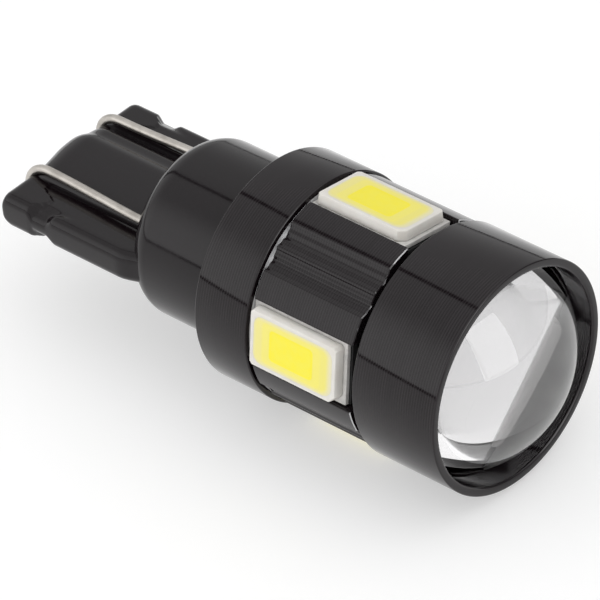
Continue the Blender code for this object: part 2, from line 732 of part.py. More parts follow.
def main():
    clear_scene()
    parts = new_collection("wedge_base_led_bulb")
    cutters = new_collection("cutters")
    looks = {
        "plastic": finish("base_plastic", (0.045, 0.043, 0.044), 0.42),
        "anodised": finish("black_anodised", (0.035, 0.034, 0.036), 0.35, 0.6),
        "wire": finish("tinned_wire", (0.66, 0.63, 0.60), 0.35, 0.9),
        "board": finish("side_board_mask", (0.03, 0.03, 0.03), 0.5),
        "front_board": finish("front_board_mask", (0.82, 0.82, 0.80), 0.5),
        "driver_board": finish("driver_board_mask", (0.05, 0.25, 0.12), 0.5),
        "lead": finish("led_lead", (0.72, 0.70, 0.67), 0.4, 0.3),
        "housing": finish("led_housing", (0.85, 0.83, 0.80), 0.5),
        "phosphor": finish("led_phosphor", (0.95, 0.85, 0.15), 0.4),
        "chip": finish("chip_resin", (0.03, 0.03, 0.03), 0.5),
        "ceramic": finish("capacitor_ceramic", (0.45, 0.36, 0.25), 0.5),
        "insulation": finish("feed_insulation", (0.6, 0.05, 0.05), 0.5),
        "lens": finish("clear_lens", (0.95, 0.96, 0.96), 0.05, 0.0, 0.35),
    }
    build_wedge_base(parts, cutters, looks["plastic"])
    build_wire("contact_wire_left", wire_route(1), WIRE_RADIUS, parts, looks["wire"])
    build_wire("contact_wire_right", wire_route(-1), WIRE_RADIUS, parts, looks["wire"])
    build_heat_sink(parts, cutters, looks["anodised"])
    for number in range(1, SIDE_COUNT + 1):
        build_side_light(number, parts, cutters, looks)
    build_front_light(parts, cutters, looks)
    build_lens(parts, looks["lens"])
    build_driver(parts, looks)
    height = DRIVER_THICK / 2 + SEAT_GAP + FEED_WIRE_RADIUS
    for name, sign in (("feed_wire_left", 1), ("feed_wire_right", -1)):
        route = [
            (DRIVER_FRONT - FEED_WIRE_OVERLAP, sign * FEED_WIRE_SPREAD, height),
            (CUP_BOTTOM, sign * FEED_WIRE_SPREAD, height),
        ]
        build_wire(name, route, FEED_WIRE_RADIUS, parts, looks["insulation"])


main()
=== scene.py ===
import math

import bmesh
import bpy
from mathutils import Matrix, Vector


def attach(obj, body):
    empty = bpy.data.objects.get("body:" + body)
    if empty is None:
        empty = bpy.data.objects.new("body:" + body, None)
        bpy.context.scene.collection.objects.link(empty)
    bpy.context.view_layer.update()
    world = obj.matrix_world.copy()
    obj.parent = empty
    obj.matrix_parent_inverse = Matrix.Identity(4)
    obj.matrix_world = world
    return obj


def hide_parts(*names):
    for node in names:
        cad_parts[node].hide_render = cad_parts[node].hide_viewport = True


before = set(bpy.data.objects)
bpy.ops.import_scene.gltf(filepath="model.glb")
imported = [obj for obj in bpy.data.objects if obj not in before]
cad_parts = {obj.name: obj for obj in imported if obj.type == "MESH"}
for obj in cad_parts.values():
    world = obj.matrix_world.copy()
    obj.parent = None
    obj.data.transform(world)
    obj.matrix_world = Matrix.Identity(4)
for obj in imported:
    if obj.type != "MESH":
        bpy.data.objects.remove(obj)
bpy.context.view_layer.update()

mm = 0.001
turnSteps = {"neck": 192, "sink": 256, "frontBoard": 128, "window": 96, "lens": 192}


class Signal:
    # one socket, so that expressions on values add their Math nodes
    def __init__(self, finish, socket):
        self.finish = finish
        self.socket = socket

    def math(self, operation, *others):
        sockets = dict(enumerate((self, *others)))
        return self.finish.node("ShaderNodeMath", {"operation": operation}, sockets)

    def __add__(self, other):
        return self.math("ADD", other)

    def __sub__(self, other):
        return self.math("SUBTRACT", other)

    def __mul__(self, other):
        return self.math("MULTIPLY", other)

    def __gt__(self, other):
        return self.math("GREATER_THAN", other)

    def __lt__(self, other):
        return self.math("LESS_THAN", other)

    def __rsub__(self, other):
        return self.finish.node("ShaderNodeMath", {"operation": "SUBTRACT"}, {0: other, 1: self})

    def __abs__(self):
        return self.math("ABSOLUTE")

    __radd__ = __add__
    __rmul__ = __mul__

    def ramp(self, low, high):
        # eased from 0 below low to 1 above high; with low above high it falls instead
        return self.finish.node("ShaderNodeMapRange", {"interpolation_type": "SMOOTHSTEP"}, {0: self, 1: low, 2: high})


class Finish:
    # a node tree with one method for any node
    def __init__(self, name, tree=None, **fixed):
        if tree is None:
            self.material = bpy.data.materials.new(name)
            self.material.use_nodes = True
            tree = self.material.node_tree
        self.tree = tree
        self.shader = tree.nodes.get("Principled BSDF")
        for key, value in fixed.items():
            self.set(key, value)

    def set(self, key, value):
        self.feed(self.shader.inputs[key], value)

    def feed(self, socket, value):
        if isinstance(value, Signal):
            self.tree.links.new(value.socket, socket)
        elif socket.type == "RGBA":
            socket.default_value = (*value, 1.0)
        else:
            socket.default_value = value

    def node(self, kind, settings=None, inputs=None, output=0):
        made = self.tree.nodes.new(kind)
        for key, value in (settings or {}).items():
            setattr(made, key, value)
        for key, value in (inputs or {}).items():
            self.feed(made.inputs[key], value)
        return Signal(self, made.outputs[output])

    def place(self, output="Object"):
        return self.node("ShaderNodeTexCoord", output=output)

    def axes(self, vector):
        return [self.node("ShaderNodeSeparateXYZ", inputs={0: vector}, output=index) for index in range(3)]

    def noise(self, place, scale, detail, stretch=None):
        if stretch:
            place = self.node("ShaderNodeMapping", inputs={"Vector": place, "Scale": stretch})
        return self.node("ShaderNodeTexNoise", inputs={"Vector": place, "Scale": scale, "Detail": detail})

    def blend(self, share, first, second):
        return self.node("ShaderNodeMix", {"data_type": "RGBA"}, {0: share, 6: first, 7: second}, output=2)

    def bump(self, height, strength, distance):
        return self.node("ShaderNodeBump", inputs={"Height": height, "Strength": strength, "Distance": distance})


# colours are linear; noise scales are per metre, so 1000 gives clouds of about a millimetre
baseFinish = {
    "colour": (0.0048, 0.0026, 0.0036), "worn": (0.0072, 0.0048, 0.0060), "roughness": 0.09, "shine": 0.34,
    "clouds": 900.0, "roughCloud": 0.05, "grain": 9000.0, "grainHeight": 0.05, "grainDepth": 0.02 * mm,
}


def mouldedBlack():
    finish = Finish("mouldedBlack", **{"Specular IOR Level": baseFinish["shine"]})
    place = finish.place()
    cloud = finish.noise(place, baseFinish["clouds"], 2.0)
    grain = finish.noise(place, baseFinish["grain"], 3.0)
    finish.set("Base Color", finish.blend(grain.ramp(0.35, 0.7), baseFinish["colour"], baseFinish["worn"]))
    finish.set("Roughness", baseFinish["roughness"] + baseFinish["roughCloud"] * cloud)
    finish.set("Normal", finish.bump(grain, baseFinish["grainHeight"], baseFinish["grainDepth"]))
    return finish.material


# the pale colour below, its roughness and its bands along the axis are painted glints on the sleeve's cut edges
sinkFinish = {
    "colour": (0.0022, 0.0003, 0.0011), "worn": (0.0155, 0.0120, 0.0137), "roughness": 0.06, "shine": 0.33,
    "grain": 8000.0, "grainShare": 0.2, "roughUneven": 0.05, "paintedGlint": (0.62, 0.62, 0.63), "glintRough": 0.3,
    "patches": 900.0,
    "glintRear": (0.017174, 0.017310), "glintFront": (0.023424, 0.023466), "glintRadius": 0.00567,
}
sinkLines = {
    "pitch": 0.15 * mm, "drift": 700.0, "wobble": 0.02 * mm, "height": 0.06, "depth": 0.01 * mm, "shade": 1.25,
    "uneven": 2600.0, "stretch": (1.0, 0.05, 0.05), "faintest": 0.3, "spread": 0.8,
}


def anodisedBlack():
    # fine turning lines run round the axis of the bulb, so they vary along it
    finish = Finish("anodisedBlack", **{"Specular IOR Level": sinkFinish["shine"]})
    place = finish.place()
    x, y, z = finish.axes(place)
    drift = finish.noise(place, sinkLines["drift"], 2.0)
    wave = ((x + drift * sinkLines["wobble"]) * (2 * math.pi / sinkLines["pitch"])).math("SINE")
    uneven = finish.noise(place, sinkLines["uneven"], 2.0, stretch=sinkLines["stretch"])
    grain = finish.noise(place, sinkFinish["grain"], 2.0)
    lines = (wave * 0.5 + 0.5) * (uneven * sinkLines["spread"] + sinkLines["faintest"])
    share = grain.ramp(0.3, 0.75) * sinkFinish["grainShare"] + lines * sinkLines["shade"]
    black = finish.blend(share, sinkFinish["colour"], sinkFinish["worn"])
    # painted glints: a pale, duller colour stands in for the highlights on the sleeve's cut edges, low down at the
    # rear groove and in patches at the front one
    rear, front = ((x > low) * (x < high) for low, high in (sinkFinish["glintRear"], sinkFinish["glintFront"]))
    radius = (y * y + z * z).math("SQRT")
    patches = finish.noise(place, sinkFinish["patches"], 1.0).ramp(0.46, 0.54)
    paintedGlint = rear * (radius < sinkFinish["glintRadius"]) + front * patches
    finish.set("Base Color", finish.blend(paintedGlint, black, sinkFinish["paintedGlint"]))
    rough = sinkFinish["roughness"] + sinkFinish["roughUneven"] * uneven
    finish.set("Roughness", rough + paintedGlint * sinkFinish["glintRough"])
    finish.set("Normal", finish.bump(wave * 0.5 + uneven, sinkLines["height"], sinkLines["depth"]))
    return finish.material


wireFinish = {
    "colour": (0.56, 0.53, 0.49), "dull": (0.43, 0.405, 0.37), "roughness": 0.32, "clouds": 1500.0, "roughCloud": 0.12,
    "drawn": 3200.0, "drawnStretch": (0.12, 1.0, 1.0), "drawnHeight": 0.25, "drawnDepth": 0.01 * mm,
}


def tinnedWire():
    finish = Finish("tinnedWire", Metallic=1.0)
    place = finish.place()
    drawn = finish.noise(place, wireFinish["drawn"], 3.0, stretch=wireFinish["drawnStretch"])
    cloud = finish.noise(place, wireFinish["clouds"], 2.0)
    finish.set("Base Color", finish.blend(cloud.ramp(0.35, 0.75), wireFinish["colour"], wireFinish["dull"]))
    finish.set("Roughness", wireFinish["roughness"] + wireFinish["roughCloud"] * cloud)
    finish.set("Normal", finish.bump(drawn, wireFinish["drawnHeight"], wireFinish["drawnDepth"]))
    return finish.material


# the side colour is painted shade for the front light's walls inside the cup
housingFinish = {
    "shine": 0.4, "translucent": 0.35, "lightDepth": 0.3 * mm, "side": (0.22, 0.22, 0.215), "roughness": 0.42,
    "clouds": 1400.0, "roughCloud": 0.1, "grain": 8000.0, "grainHeight": 0.05, "grainDepth": 0.01 * mm,
}


def ledHousing(name, pale, bright, shadeBelow=0.0):
    # translucent moulding; on the front light everything below a place on the axis takes the darker side colour, a
    # painted shade for the shade inside the cup
    finish = Finish(name, **{
        "Specular IOR Level": housingFinish["shine"], "Subsurface Weight": housingFinish["translucent"],
        "Subsurface Scale": housingFinish["lightDepth"], "Subsurface Radius": (1.0, 1.0, 1.0),
    })
    place = finish.place()
    cloud = finish.noise(place, housingFinish["clouds"], 2.0)
    x, _, _ = finish.axes(place)
    colour = finish.blend(cloud.ramp(0.3, 0.7), pale, bright)
    finish.set("Base Color", finish.blend(x < shadeBelow, colour, housingFinish["side"]))
    finish.set("Roughness", housingFinish["roughness"] + housingFinish["roughCloud"] * cloud)
    grain = finish.noise(place, housingFinish["grain"], 3.0)
    finish.set("Normal", finish.bump(grain, housingFinish["grainHeight"], housingFinish["grainDepth"]))
    return finish.material


leadFinish = {
    "moulding": (0.66, 0.645, 0.62), "lead": (0.52, 0.51, 0.49), "clouds": 2500.0, "roughness": 0.36,
    "roughCloud": 0.12,
}


def ledLead():
    # white moulding of the base with its tinned leads showing through as duller patches
    finish = Finish("ledLead")
    cloud = finish.noise(finish.place(), leadFinish["clouds"], 2.0)
    finish.set("Base Color", finish.blend(cloud.ramp(0.35, 0.75), leadFinish["moulding"], leadFinish["lead"]))
    finish.set("Roughness", leadFinish["roughness"] + leadFinish["roughCloud"] * cloud)
    return finish.material


gelFinish = {
    "rimRear": (0.85, 0.77, 0.26), "rimFront": (0.86, 0.78, 0.18), "middle": (0.91, 0.82, 0.135),
    "deep": (0.94, 0.83, 0.032), "deepCloud": (0.93, 0.83, 0.055), "outline": (0.95, 0.83, 0.018),
    "edge": (0.76, 0.72, 0.55), "clouds": 2600.0, "roughness": 0.32, "roughCloud": 0.1,
    "middleShare": 0.6, "outlineShare": 0.8, "edgeShare": 0.85, "cloudHeight": 0.1, "cloudDepth": 0.02 * mm,
}
# fields in the window: half length, half width, corner and softness, in millimetres
gelFields = {
    "deep": (1.36, 0.84, 0.24, 0.06), "die": (1.25, 0.73, 0.18, 0.06), "middle": (1.82, 1.12, 0.34, 0.10),
    "whole": (2.32, 1.22, 0.45, 0.20), "uScale": 2.46, "vScale": 1.3, "uShift": 0.045,
}


def phosphorGel():
    # the deep yellow die area lies under a paler rim of gel; the UV map runs from -1 to 1 both ways
    finish = Finish("phosphorGel")
    u, v, _ = finish.axes(finish.place("UV"))
    cloud = finish.noise(finish.place(), gelFinish["clouds"], 2.0)

    def field(name):
        # 1 inside a rectangle with rounded corners
        halfLength, halfWidth, corner, soft = gelFields[name]
        along = abs((u + gelFields["uShift"]) * gelFields["uScale"]) - (halfLength - corner)
        across = abs(v * gelFields["vScale"]) - (halfWidth - corner)
        along, across = along.math("MAXIMUM", 0.0), across.math("MAXIMUM", 0.0)
        return (along * along + across * across).math("SQRT").ramp(corner + soft, corner - soft)

    deepField = field("deep")
    pale = finish.blend(u.ramp(-0.6, 1.1), gelFinish["rimRear"], gelFinish["rimFront"])
    pale = finish.blend(field("middle") * gelFinish["middleShare"], pale, gelFinish["middle"])
    deep = finish.blend(cloud.ramp(0.3, 0.7), gelFinish["deep"], gelFinish["deepCloud"])
    deep = finish.blend((deepField - field("die")) * gelFinish["outlineShare"], deep, gelFinish["outline"])
    window = finish.blend(deepField, pale, deep)
    finish.set("Base Color", finish.blend((1 - field("whole")) * gelFinish["edgeShare"], window, gelFinish["edge"]))
    finish.set("Roughness", gelFinish["roughness"] + gelFinish["roughCloud"] * cloud)
    finish.set("Normal", finish.bump(cloud, gelFinish["cloudHeight"], gelFinish["cloudDepth"]))
    return finish.material


def clouded(name, first, second, roughness, scale=1500.0, detail=3.0):
    # faint clouds in the colour and gloss of a board, a resin or a gel
    finish = Finish(name)
    cloud = finish.noise(finish.place(), scale, detail)
    finish.set("Base Color", finish.blend(cloud.ramp(0.3, 0.7), first, second))
    finish.set("Roughness", roughness + 0.1 * cloud)
    return finish.material


glassFinish = {
    "tint": (0.745, 0.74, 0.745), "index": 1.49, "ripple": 260.0, "rippleHeight": 0.02, "rippleDepth": 0.02 * mm,
}


def clearLens():
    finish = Finish("clearLens", Roughness=0.0, IOR=glassFinish["index"], **{
        "Transmission Weight": 1.0, "Base Color": glassFinish["tint"],
    })
    ripple = finish.noise(finish.place(), glassFinish["ripple"], 1.0)
    finish.set("Normal", finish.bump(ripple, glassFinish["rippleHeight"], glassFinish["rippleDepth"]))
    return finish.material


def filleted(corners, closed=True, steps=5):
    # rounds the corners of a flat outline, given as (u, v, radius)
    points = []
    last = len(corners) - 1
    for index, (u, v, radius) in enumerate(corners):
        here = Vector((u, v))
        if radius == 0 or (not closed and index in (0, last)):
            points.append((u, v))
            continue
        before = (Vector(corners[index - 1][:2]) - here).normalized()
        after = (Vector(corners[(index + 1) % len(corners)][:2]) - here).normalized()
        half = before.angle(after) / 2
        centre = here + (before + after).normalized() * (radius / math.sin(half))
        start = here + before * (radius / math.tan(half)) - centre
        sweep = math.pi - 2 * half
        side = 1 if before.cross(after) < 0 else -1
        for step in range(steps + 1):
            turn = side * sweep * step / steps
            arm = Matrix.Rotation(turn, 2) @ start
            points.append(tuple(centre + arm))
    return points


def lathe(bm, profile, steps, closed=False):
    # turns (x, radius) points about the X axis; a closed profile has no poles
    rings = []
    for x, radius in profile:
        if radius < 1e-6:
            rings.append([bm.verts.new((x * mm, 0, 0))])
            continue
        turns = [2 * math.pi * step / steps for step in range(steps)]
        rings.append([bm.verts.new((x * mm, radius * mm * math.sin(t), radius * mm * math.cos(t))) for t in turns])
    pairs = list(zip(rings, rings[1:]))
    if closed:
        pairs.append((rings[-1], rings[0]))
    for first, second in pairs:
        for step in range(steps):
            after = (step + 1) % steps
            if len(first) == 1:
                bm.faces.new((first[0], second[step], second[after]))
            elif len(second) == 1:
                bm.faces.new((first[step], first[after], second[0]))
            else:
                bm.faces.new((first[step], first[after], second[after], second[step]))


def newRing(bm, points):
    return [bm.verts.new(Vector(point) * mm) for point in points]


def skin(bm, rings):
    # faces between closed rings, which all have the same count of points
    for first, second in zip(rings, rings[1:]):
        for index in range(len(first)):
            after = (index + 1) % len(first)
            bm.faces.new((first[index], first[after], second[after], second[index]))


def loft(bm, rows):
    # joins rows of points into one closed skin
    rings = [newRing(bm, row) for row in rows]
    skin(bm, rings)
    bm.faces.new(rings[0])
    bm.faces.new(rings[-1])


def madeObject(bm, name, material, angle=35.0):
    bmesh.ops.recalc_face_normals(bm, faces=bm.faces)
    mesh = bpy.data.meshes.new(name)
    bm.to_mesh(mesh)
    bm.free()
    mesh.materials.append(material)
    mesh.shade_smooth()
    mesh.set_sharp_from_angle(angle=math.radians(angle))
    obj = bpy.data.objects.new(name, mesh)
    bpy.context.scene.collection.objects.link(obj)
    return obj


def baked(obj):
    # the evaluated shape becomes a plain mesh, and the modifiers go
    graph = bpy.context.evaluated_depsgraph_get()
    mesh = bpy.data.meshes.new_from_object(obj.evaluated_get(graph))
    obj.modifiers.clear()
    obj.data = mesh


def hollow(obj, cutters):
    for cutter in cutters:
        modifier = obj.modifiers.new("cut", "BOOLEAN")
        modifier.operation = "DIFFERENCE"
        modifier.solver = "EXACT"
        modifier.object = cutter
    baked(obj)
    for cutter in cutters:
        bpy.data.objects.remove(cutter)
    obj.data.shade_smooth()
    obj.data.set_sharp_from_angle(angle=math.radians(35))


def entered(obj, node):
    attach(obj, "root")
    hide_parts(node)


# sizes are in millimetres, along the bulb from the end of the wedge
wedge = {
    "halfWidth": 4.85, "half": 1.0, "rear": 0.04, "edgeRound": 0.56, "edgeLimit": 0.92, "endRound": 0.6,
    "planRound": 0.22, "wingRoot": 2.6, "wingFront": 9.6, "taperStart": 7.7, "taperEnd": 9.4, "taperHalf": 4.45,
    "catchOuter": 0.42, "catchInner": 0.22, "catchFloorEnd": 2.9, "catchOut": 0.65, "catchFade": 1.3,
    "catchDepth": 0.42, "catchFrom": 3.9, "catchFull": 4.6, "catchFront": 3.7, "mainDrop": 0.08,
    "railHalf": 1.42, "railWidth": 5.56, "railUnder": 0.3, "railIntoNeck": 0.9, "land": 0.8, "lip": 0.32, "seat": 1.28,
    "grooveStart": -0.2, "grooveFade": 0.5, "grooveInner": 1.95, "grooveOuter": 2.36, "grooveDepth": 0.26,
    "grooveSlope": 0.35, "grooveWall": 0.04, "railPitch": 0.08,
    "neckRear": 8.0, "neckRound": 1.35, "neckRadius": 4.6, "neckFront": 14.0, "neckEdge": 0.06,
    "spigotRadius": 4.1, "spigotFront": 17.0, "spigotEdge": 0.1, "wall": 0.5, "floor": 10.0, "floorRound": 0.2,
}
# where the pad's end wall stands, by the distance from the middle of the wedge
padEnd = [
    (2.8, 1.55), (3.15, 1.62), (3.35, 1.88), (3.5, 2.30), (3.7, 2.60), (3.95, 2.58), (4.2, 2.40), (4.5, 2.12),
    (4.85, 1.98),
]
# how far the rail's upper face stands from the middle plane, across the rail
crown = [
    (-2.9, 1.27), (-2.4, 1.31), (-2.0, 1.41), (-1.58, 1.50), (-0.82, 1.63), (-0.2, 1.695), (0.23, 1.72), (0.54, 1.70),
    (0.82, 1.62), (1.04, 1.53), (1.25, 1.485), (1.65, 1.44), (2.0, 1.39), (2.4, 1.33), (2.9, 1.27),
]
wires = {
    "radius": 0.225, "gap": 0.015, "clearance": 0.05, "noseSpread": 2.54, "neckSpread": 2.8, "tuck": 0.4,
    "boardHeight": 0.4, "inside": 1.3, "tail": 1.0, "drop": 1.1, "spreadEase": 0.8,
}
wireHeight = wedge["seat"] + wires["gap"] + wires["radius"]
noseX = math.sqrt(wedge["railHalf"] ** 2 - (wedge["land"] / 2) ** 2)


def smooth(low, high, x):
    share = min(max((x - low) / (high - low), 0.0), 1.0)
    return share * share * (3 - 2 * share)


def padEndAt(across):
    # the wall's place, eased between its given points
    for (y0, x0), (y1, x1) in zip(padEnd, padEnd[1:]):
        if across <= y1:
            return x0 + (x1 - x0) * smooth(y0, y1, across)
    return padEnd[-1][1]


def wingHalfThick(x, across):
    # the end pad, the catch groove across it, then the slightly thinner main length
    wall = padEndAt(max(across, padEnd[0][0]))
    outer = smooth(wedge["catchFrom"], wedge["catchFull"], across)
    width = wedge["catchInner"] + (wedge["catchOuter"] - wedge["catchInner"]) * outer
    depth = wedge["mainDrop"] + (wedge["catchDepth"] - wedge["mainDrop"]) * outer
    dip = smooth(wall - width / 2, wall + width / 2, x) * depth
    rampEnd = wedge["catchFloorEnd"] + wedge["catchOut"] + wedge["catchFade"] * (1 - outer)
    rise = smooth(wedge["catchFloorEnd"], rampEnd, x) * (depth - wedge["mainDrop"])
    return wedge["half"] - dip + rise


def quarterRound(distance, radius):
    # how far a rounded edge has fallen at a distance inside its outer end
    if distance >= radius:
        return 0.0
    return radius * (1 - math.sqrt(max(1 - (1 - distance / radius) ** 2, 0.0)))


def wingSection(x):
    flatSteps, edgeSteps = 44, 12
    along, edge, root = x - wedge["rear"], wedge["edgeRound"], wedge["wingRoot"]
    endDrop = quarterRound(along, wedge["endRound"])
    half = wedge["halfWidth"] - quarterRound(along, wedge["planRound"])
    half += (wedge["taperHalf"] - wedge["halfWidth"]) * smooth(wedge["taperStart"], wedge["taperEnd"], x)
    outward = [root + (half - edge - root) * step / flatSteps for step in range(flatSteps + 1)]
    for step in range(1, edgeSteps + 1):
        outward.append(half - edge * (1 - math.sin(math.radians(90 * step / edgeSteps))))
    upper = []
    for y in outward:
        thick = wingHalfThick(x, y) - endDrop
        share = max(y - (half - edge), 0.0) / edge
        fall = min(edge, thick * wedge["edgeLimit"])  # the edge closes before it meets the one below
        upper.append((y, thick - fall * (1 - math.sqrt(max(1 - share**2, 0.0)))))
    top = upper[::-1] + [(-y, z) for y, z in upper]
    return [(x, y, z) for y, z in top] + [(x, y, -z) for y, z in reversed(top)]


def makeWings(bm):
    # sections stand close together round the end and over the catch grooves
    endSteps, fine, coarse = 10, 0.025, 0.15
    stations = []
    for step in range(endSteps + 1):
        stations.append(wedge["rear"] + wedge["endRound"] * (1 - math.cos(math.radians(90 * step / endSteps))))
    while stations[-1] < wedge["wingFront"]:
        stations.append(stations[-1] + (fine if stations[-1] < wedge["catchFront"] else coarse))
    loft(bm, [wingSection(x) for x in stations])


def crownReach(y):
    # a smooth curve through the given points
    last = len(crown) - 1
    index = next(i for i in range(last) if y <= crown[i + 1][0] or i == last - 1)
    (y0, reach0), (y1, reach1) = crown[index], crown[index + 1]
    before, after = crown[max(index - 1, 0)], crown[min(index + 2, last)]
    step = y1 - y0
    slope0 = (reach1 - before[1]) / (y1 - before[0]) * step
    slope1 = (after[1] - reach0) / (after[0] - y0) * step
    s = (y - y0) / step
    a, b = 2 * s**3 - 3 * s**2 + 1, s**3 - 2 * s**2 + s
    return a * reach0 + b * slope0 + (1 - a) * reach1 + (s**3 - s**2) * slope1


def inGroove(y):
    # a long slope from the crown, then a steep wall below the wire
    inner, outer, slope, wall = wedge["grooveInner"], wedge["grooveOuter"], wedge["grooveSlope"], wedge["grooveWall"]
    return smooth(inner - slope, inner + slope, y) * (1 - smooth(outer - wall, outer + wall, y))


def railStations():
    # across the rail, closer together at the lips and at the groove's walls
    half, lip, evenSteps, lipSteps = wedge["railWidth"] / 2, wedge["lip"], 28, 8
    outward = [step * wedge["railPitch"] for step in range(evenSteps)]
    outward += [wedge["grooveOuter"] + shift for shift in (-0.06, -0.03, 0.0, 0.03, 0.06)]
    outward += [half - lip * (1 - math.sin(math.radians(90 * step / lipSteps))) for step in range(lipSteps + 1)]
    outward.sort()
    return [-y for y in reversed(outward[1:])] + outward


def makeRail(bm):
    # the section runs along the top, turns into its mirror image round the nose and goes back below
    straightSteps, noseSteps = 60, 64
    end = wedge["neckRear"] + wedge["railIntoNeck"]
    half, lip, under = wedge["railWidth"] / 2, wedge["lip"], wedge["railUnder"]
    path = [(end + (noseX - end) * step / straightSteps, 1.0, 0.0) for step in range(straightSteps)]
    for step in range(noseSteps + 1):
        turn = math.pi * step / noseSteps
        path.append((noseX, math.cos(turn), math.sin(turn)))
    path += [(noseX + (end - noseX) * step / straightSteps, -1.0, 0.0) for step in range(1, straightSteps + 1)]
    rings = []
    for x, up, back in path:
        share = (1 + up) / 2
        row = [(-half, under)]
        for y in railStations():
            reach = crownReach(y) * share + crownReach(-y) * (1 - share) - quarterRound(half - abs(y), lip)
            groove = wedge["grooveDepth"] * inGroove(y if up > 0 else -y)
            start = wedge["grooveStart"]
            reach -= groove * smooth(start, start + wedge["grooveFade"], x - reach * back)
            row.append((y, reach))
        row.append((half, under))
        rings.append(newRing(bm, [(max(x - reach * back, 0.0), y, reach * up) for y, reach in row]))
    for first, second in zip(rings, rings[1:]):
        for index in range(len(first) - 1):
            bm.faces.new((first[index], first[index + 1], second[index + 1], second[index]))
    for side in (0, -1):
        bm.faces.new([ring[side] for ring in rings])
    first, last = rings[0], rings[-1]
    for index in range(len(first) - 1):
        bm.faces.new((first[index], first[index + 1], last[index + 1], last[index]))


def makeNeck(bm):
    rear, front, radius, spigot = wedge["neckRear"], wedge["neckFront"], wedge["neckRadius"], wedge["spigotRadius"]
    end, floor, inside, edge = wedge["spigotFront"], wedge["floor"], spigot - wedge["wall"], wedge["spigotEdge"]
    corners = [
        (rear, 0.0, 0), (rear, radius, wedge["neckRound"]), (front, radius, wedge["neckEdge"]), (front, spigot, 0),
        (end, spigot, edge), (end, inside, edge / 2), (floor, inside, wedge["floorRound"]), (floor, 0.0, 0),
    ]
    lathe(bm, filleted(corners, closed=False, steps=14), turnSteps["neck"])


def rod(name, radius, x0, x1, y, z):
    bm = bmesh.new()
    place = Matrix.Translation(Vector(((x0 + x1) / 2, y, z)) * mm) @ Matrix.Rotation(math.pi / 2, 4, "Y")
    sizes = {"radius1": radius * mm, "radius2": radius * mm, "depth": (x1 - x0) * mm}
    bmesh.ops.create_cone(bm, cap_ends=True, segments=32, matrix=place, **sizes)
    return madeObject(bm, name, blackPlastic)


def makeWedgeBase():
    neckMesh = bmesh.new()
    makeNeck(neckMesh)
    neck = madeObject(neckMesh, "wedgeBase", blackPlastic)
    bore, rear, tuck = wires["radius"] + wires["clearance"], wedge["neckRear"], wires["tuck"]
    cutters = []
    for y in (wires["neckSpread"], -wires["neckSpread"]):
        cutters.append(rod("entry", bore, rear - 1, wedge["floor"] + 1, y, wireHeight))
        cutters.append(rod("tuck", bore, rear - 1, rear + tuck + wires["clearance"], y, -wireHeight))
    hollow(neck, cutters)
    bm = bmesh.new()
    makeWings(bm)
    makeRail(bm)
    blade = madeObject(bm, "blade", blackPlastic)
    joined = bmesh.new()
    joined.from_mesh(neck.data)
    joined.from_mesh(blade.data)
    joined.to_mesh(neck.data)
    joined.free()
    bpy.data.objects.remove(blade)
    neck.data.set_sharp_from_angle(angle=math.radians(35))
    return neck


def wireRoute(side):
    # out of the driver board's edge, along the rail, round the nose and back into the neck's rear
    dropSteps, runSteps, noseSteps, backSteps = 12, 29, 48, 24
    drop, wide, narrow = wires["drop"], wires["neckSpread"], wires["noseSpread"]
    low = wires["boardHeight"] + wires["gap"] + wires["radius"]
    end = wedge["floor"] + wires["inside"]
    points = [(end + wires["tail"], wide, low)]
    for step in range(dropSteps + 1):
        share = step / dropSteps
        points.append((end - drop * share, wide, low + (wireHeight - low) * smooth(0, 1, share)))
    kink = wedge["neckRear"] - wires["tuck"]
    for step in range(1, runSteps + 1):
        x = end - drop + (noseX - end + drop) * step / runSteps
        spread = wide
        if x < kink:
            spread += (narrow - wide) * smooth(0, 1, (kink - x) / (kink - noseX)) ** wires["spreadEase"]
        points.append((x, spread, wireHeight))
    for step in range(1, noseSteps + 1):
        turn = math.pi * step / noseSteps
        points.append((noseX - wireHeight * math.sin(turn), narrow, wireHeight * math.cos(turn)))
    for step in range(1, backSteps + 1):
        x = noseX + (kink - noseX) * step / backSteps
        points.append((x, narrow + (wide - narrow) * smooth(0, 1, step / backSteps), -wireHeight))
    points.append((wedge["neckRear"] + wires["tuck"], wide, -wireHeight))
    return [(x, side * y, z) for x, y, z in points]


class NodeTree:
    # a Geometry Nodes tree with named inputs
    def __init__(self, name):
        self.tree = bpy.data.node_groups.new(name, "GeometryNodeTree")
        self.tree.interface.new_socket("Geometry", in_out="OUTPUT", socket_type="NodeSocketGeometry")
        self.tree.interface.new_socket("Geometry", in_out="INPUT", socket_type="NodeSocketGeometry")
        self.entry = self.tree.nodes.new("NodeGroupInput")
        self.exit = self.tree.nodes.new("NodeGroupOutput")
        self.keys = {}

    def value(self, name, default, kind="NodeSocketFloat"):
        socket = self.tree.interface.new_socket(name, in_out="INPUT", socket_type=kind)
        socket.default_value = default
        self.keys[name] = socket.identifier
        return self.entry.outputs[name]

    def node(self, kind, inputs):
        made = self.tree.nodes.new(kind)
        for key, value in inputs.items():
            if isinstance(value, bpy.types.NodeSocket):
                self.tree.links.new(value, made.inputs[key])
            else:
                made.inputs[key].default_value = value
        return made.outputs[0]

    def end(self, geometry, material):
        whole = self.node("GeometryNodeRealizeInstances", {0: geometry})
        painted = self.node("GeometryNodeSetMaterial", {"Geometry": whole, "Material": material})
        self.tree.links.new(painted, self.exit.inputs[0])

    def run(self, obj, **values):
        modifier = obj.modifiers.new(self.tree.name, "NODES")
        modifier.node_group = self.tree
        for name, value in values.items():
            modifier[self.keys[name]] = value
        baked(obj)


